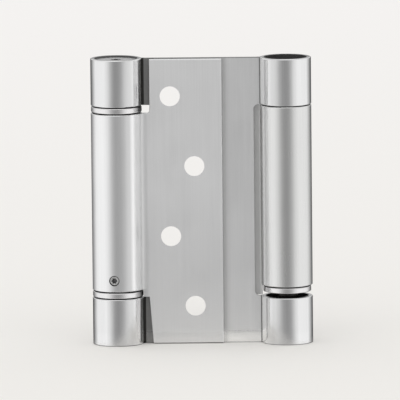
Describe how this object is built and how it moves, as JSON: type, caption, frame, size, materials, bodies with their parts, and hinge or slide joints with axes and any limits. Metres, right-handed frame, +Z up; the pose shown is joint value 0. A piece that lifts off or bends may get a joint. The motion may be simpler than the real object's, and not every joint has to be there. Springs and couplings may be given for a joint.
{
  "type": "double action spring hinge",
  "caption": "Steel double action spring hinge: a folded web with curled knuckles, sprung barrels and a screw leaf on each face, so a door swings both ways and closes itself.",
  "frame": {"origin": "centre of the footprint at the bottom of the web, midway between the two barrel axes", "axes": "+Z up along the barrels, +X from the door leaf's barrel to the frame leaf's barrel, +Y from the door leaf's face to the frame leaf's face"},
  "size_m": [0.0766, 0.0178, 0.1],
  "materials": {
    "sheet_steel": "satin stainless sheet, brushed along its height",
    "turned_steel": "turned bright steel",
    "spring_steel": "oiled dark spring steel",
    "screw_steel": "black oxide screw steel",
    "pin_steel": "ground dowel steel"
  },
  "bodies": {
    "web": {"centre_web": "sheet_steel", "door_adjuster": "turned_steel", "door_spring_holder": "turned_steel", "door_pivot": "turned_steel", "door_lock_pin": "pin_steel", "frame_adjuster": "turned_steel", "frame_spring_holder": "turned_steel", "frame_pivot": "turned_steel", "frame_lock_pin": "pin_steel"},
    "door_side": {"door_leaf": "sheet_steel", "door_bush": "turned_steel", "door_anchor": "turned_steel", "door_grub_screw": "screw_steel", "door_spring": "spring_steel"},
    "frame_side": {"frame_leaf": "sheet_steel", "frame_bush": "turned_steel", "frame_anchor": "turned_steel", "frame_grub_screw": "screw_steel", "frame_spring": "spring_steel"}
  },
  "joints": [
    {"name": "door_leaf_swing", "type": "hinge", "parent": "web", "child": "door_side", "pos_m": [-0.0294, 0, 0.05], "axis": [0, 0, -1], "range_deg": [0, 180], "stiffness_Nm_per_rad": 0.6, "springref_deg": -45.84, "deforming": ["door_spring"]},
    {"name": "frame_leaf_swing", "type": "hinge", "parent": "web", "child": "frame_side", "pos_m": [0.0294, 0, 0.05], "axis": [0, 0, -1], "range_deg": [0, 180], "stiffness_Nm_per_rad": 0.6, "springref_deg": -45.84, "deforming": ["frame_spring"]}
  ]
}
